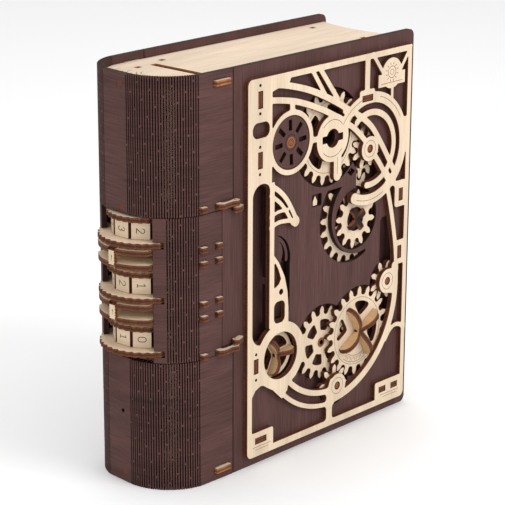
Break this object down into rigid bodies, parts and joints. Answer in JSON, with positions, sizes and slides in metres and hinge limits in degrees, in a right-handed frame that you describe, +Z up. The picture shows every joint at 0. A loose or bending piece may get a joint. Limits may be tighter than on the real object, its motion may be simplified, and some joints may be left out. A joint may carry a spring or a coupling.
{
  "type": "mechanical puzzle book box",
  "caption": "Book-shaped plywood puzzle box: round spine with number wheels, hinged front cover with a lattice over gears, keyhole, knobs and a sliding bolt.",
  "frame": {"origin": "under the middle of the bounding box, on the surface that the book stands on", "axes": "+Z up along the spine, front cover with the gears towards -Y, round spine towards -X, fore edge towards +X"},
  "size_m": [0.2089, 0.0782, 0.23],
  "materials": {
    "stained_plywood": "dark brown stained laser-cut plywood, matt",
    "natural_plywood": "natural light plywood with burnt cut edges, matt",
    "tan_plywood": "plywood seen on its scorched cut edges, matt"
  },
  "bodies": {
    "case": {"spine_shell_upper": "stained_plywood", "spine_shell_lower": "stained_plywood", "spine_shell_middle_front": "stained_plywood", "spine_shell_middle_back": "stained_plywood", "rib_upper": "natural_plywood", "rib_lower": "natural_plywood", "separator_1": "natural_plywood", "separator_2": "natural_plywood", "separator_3": "natural_plywood", "separator_4": "natural_plywood", "index_marker_1": "natural_plywood", "index_marker_2": "natural_plywood", "end_plate_top": "natural_plywood", "end_plate_bottom": "natural_plywood", "spine_wall": "natural_plywood", "fore_edge_wall": "natural_plywood", "back_cover": "stained_plywood", "wheel_shaft": "tan_plywood", "hinge_pin_upper": "tan_plywood", "hinge_pin_lower": "tan_plywood"},
    "wheel_1": {"wheel_1_grip_ring": "natural_plywood", "wheel_1_digit_drum": "natural_plywood", "wheel_1_top_ring": "natural_plywood"},
    "wheel_2": {"wheel_2_grip_ring": "natural_plywood", "wheel_2_digit_drum": "natural_plywood", "wheel_2_top_ring": "natural_plywood"},
    "wheel_3": {"wheel_3_grip_ring": "natural_plywood", "wheel_3_digit_drum": "natural_plywood", "wheel_3_top_ring": "natural_plywood"},
    "front_cover": {"front_cover_panel": "stained_plywood", "cover_lug_upper": "tan_plywood", "cover_lug_lower": "tan_plywood", "lattice_panel": "natural_plywood", "inner_plate": "stained_plywood", "rail_left": "tan_plywood", "rail_left_low": "tan_plywood", "rail_right": "tan_plywood", "rail_top": "tan_plywood", "rail_bottom": "tan_plywood", "axle_idler": "tan_plywood", "axle_large_gear": "tan_plywood", "axle_centre": "tan_plywood", "axle_pinion_low": "tan_plywood", "axle_pinion_high": "tan_plywood", "axle_spoked_disc": "tan_plywood"},
    "key_gear": {"key_gear": "natural_plywood"},
    "idler": {"idler_gears": "natural_plywood"},
    "large_wheel": {"large_gear": "natural_plywood", "crown_gear": "natural_plywood", "crown_knob": "stained_plywood"},
    "centre_wheel": {"centre_gear": "natural_plywood", "centre_pinion": "natural_plywood", "centre_knob": "tan_plywood"},
    "pinion_low": {"pinion_low": "natural_plywood"},
    "pinion_high": {"pinion_high": "natural_plywood"},
    "left_gear": {"left_gear": "natural_plywood"},
    "bolt_knob": {"tri_wheel": "natural_plywood", "tri_knob": "tan_plywood"},
    "bolt": {"bolt": "tan_plywood"},
    "spoked_disc": {"spoked_disc": "stained_plywood"}
  },
  "joints": [
    {"name": "cover_hinge", "type": "hinge", "parent": "case", "child": "front_cover", "pos_m": [-0.04755, -0.0353, 0.115], "axis": [0, 0, -1], "range_deg": [0, 110]},
    {"name": "wheel_1_turn", "type": "hinge", "parent": "case", "child": "wheel_1", "pos_m": [-0.07805, 0.0021, 0.0852], "axis": [0, 0, 1], "continuous": true},
    {"name": "wheel_2_turn", "type": "hinge", "parent": "case", "child": "wheel_2", "pos_m": [-0.07805, 0.0021, 0.1156], "axis": [0, 0, 1], "continuous": true},
    {"name": "wheel_3_turn", "type": "hinge", "parent": "case", "child": "wheel_3", "pos_m": [-0.07805, 0.0021, 0.146], "axis": [0, 0, 1], "continuous": true},
    {"name": "key_turn", "type": "hinge", "parent": "front_cover", "child": "key_gear", "pos_m": [0.03011, -0.0329, 0.17864], "axis": [0, -1, 0], "range_deg": [0, 90]},
    {"name": "idler_turn", "type": "hinge", "parent": "front_cover", "child": "idler", "pos_m": [0.06315, -0.0329, 0.1665], "axis": [0, -1, 0], "range_deg": [-230, 5]},
    {"name": "large_wheel_turn", "type": "hinge", "parent": "front_cover", "child": "large_wheel", "pos_m": [0.05494, -0.0329, 0.12587], "axis": [0, -1, 0], "range_deg": [-5, 160]},
    {"name": "centre_turn", "type": "hinge", "parent": "front_cover", "child": "centre_wheel", "pos_m": [0.05845, -0.0329, 0.0569], "axis": [0, -1, 0], "continuous": true},
    {"name": "pinion_low_turn", "type": "hinge", "parent": "front_cover", "child": "pinion_low", "pos_m": [0.03768, -0.0329, 0.029], "axis": [0, -1, 0], "continuous": true},
    {"name": "pinion_high_turn", "type": "hinge", "parent": "front_cover", "child": "pinion_high", "pos_m": [0.0819, -0.0329, 0.08259], "axis": [0, -1, 0], "continuous": true},
    {"name": "left_gear_turn", "type": "hinge", "parent": "front_cover", "child": "left_gear", "pos_m": [0.02985, -0.0329, 0.0564], "axis": [0, -1, 0], "continuous": true},
    {"name": "bolt_knob_turn", "type": "hinge", "parent": "front_cover", "child": "bolt_knob", "pos_m": [-0.01185, -0.0329, 0.061], "axis": [0, -1, 0], "range_deg": [0, 90]},
    {"name": "bolt_slide", "type": "slide", "parent": "front_cover", "child": "bolt", "axis": [1, 0, 0], "range_m": [-0.0002, 0.0096]},
    {"name": "spoked_disc_turn", "type": "hinge", "parent": "front_cover", "child": "spoked_disc", "pos_m": [-0.00455, -0.0329, 0.1825], "axis": [0, -1, 0], "continuous": true}
  ],
  "couplings": [
    {"joint": "idler_turn", "follows": "key_turn", "ratio": -2.5},
    {"joint": "large_wheel_turn", "follows": "key_turn", "ratio": 1.625},
    {"joint": "pinion_low_turn", "follows": "centre_turn", "ratio": -2.5},
    {"joint": "pinion_high_turn", "follows": "centre_turn", "ratio": -2.5},
    {"joint": "left_gear_turn", "follows": "centre_turn", "ratio": -0.4375},
    {"joint": "bolt_slide", "follows": "bolt_knob_turn", "m_per_rad": 0.006}
  ]
}
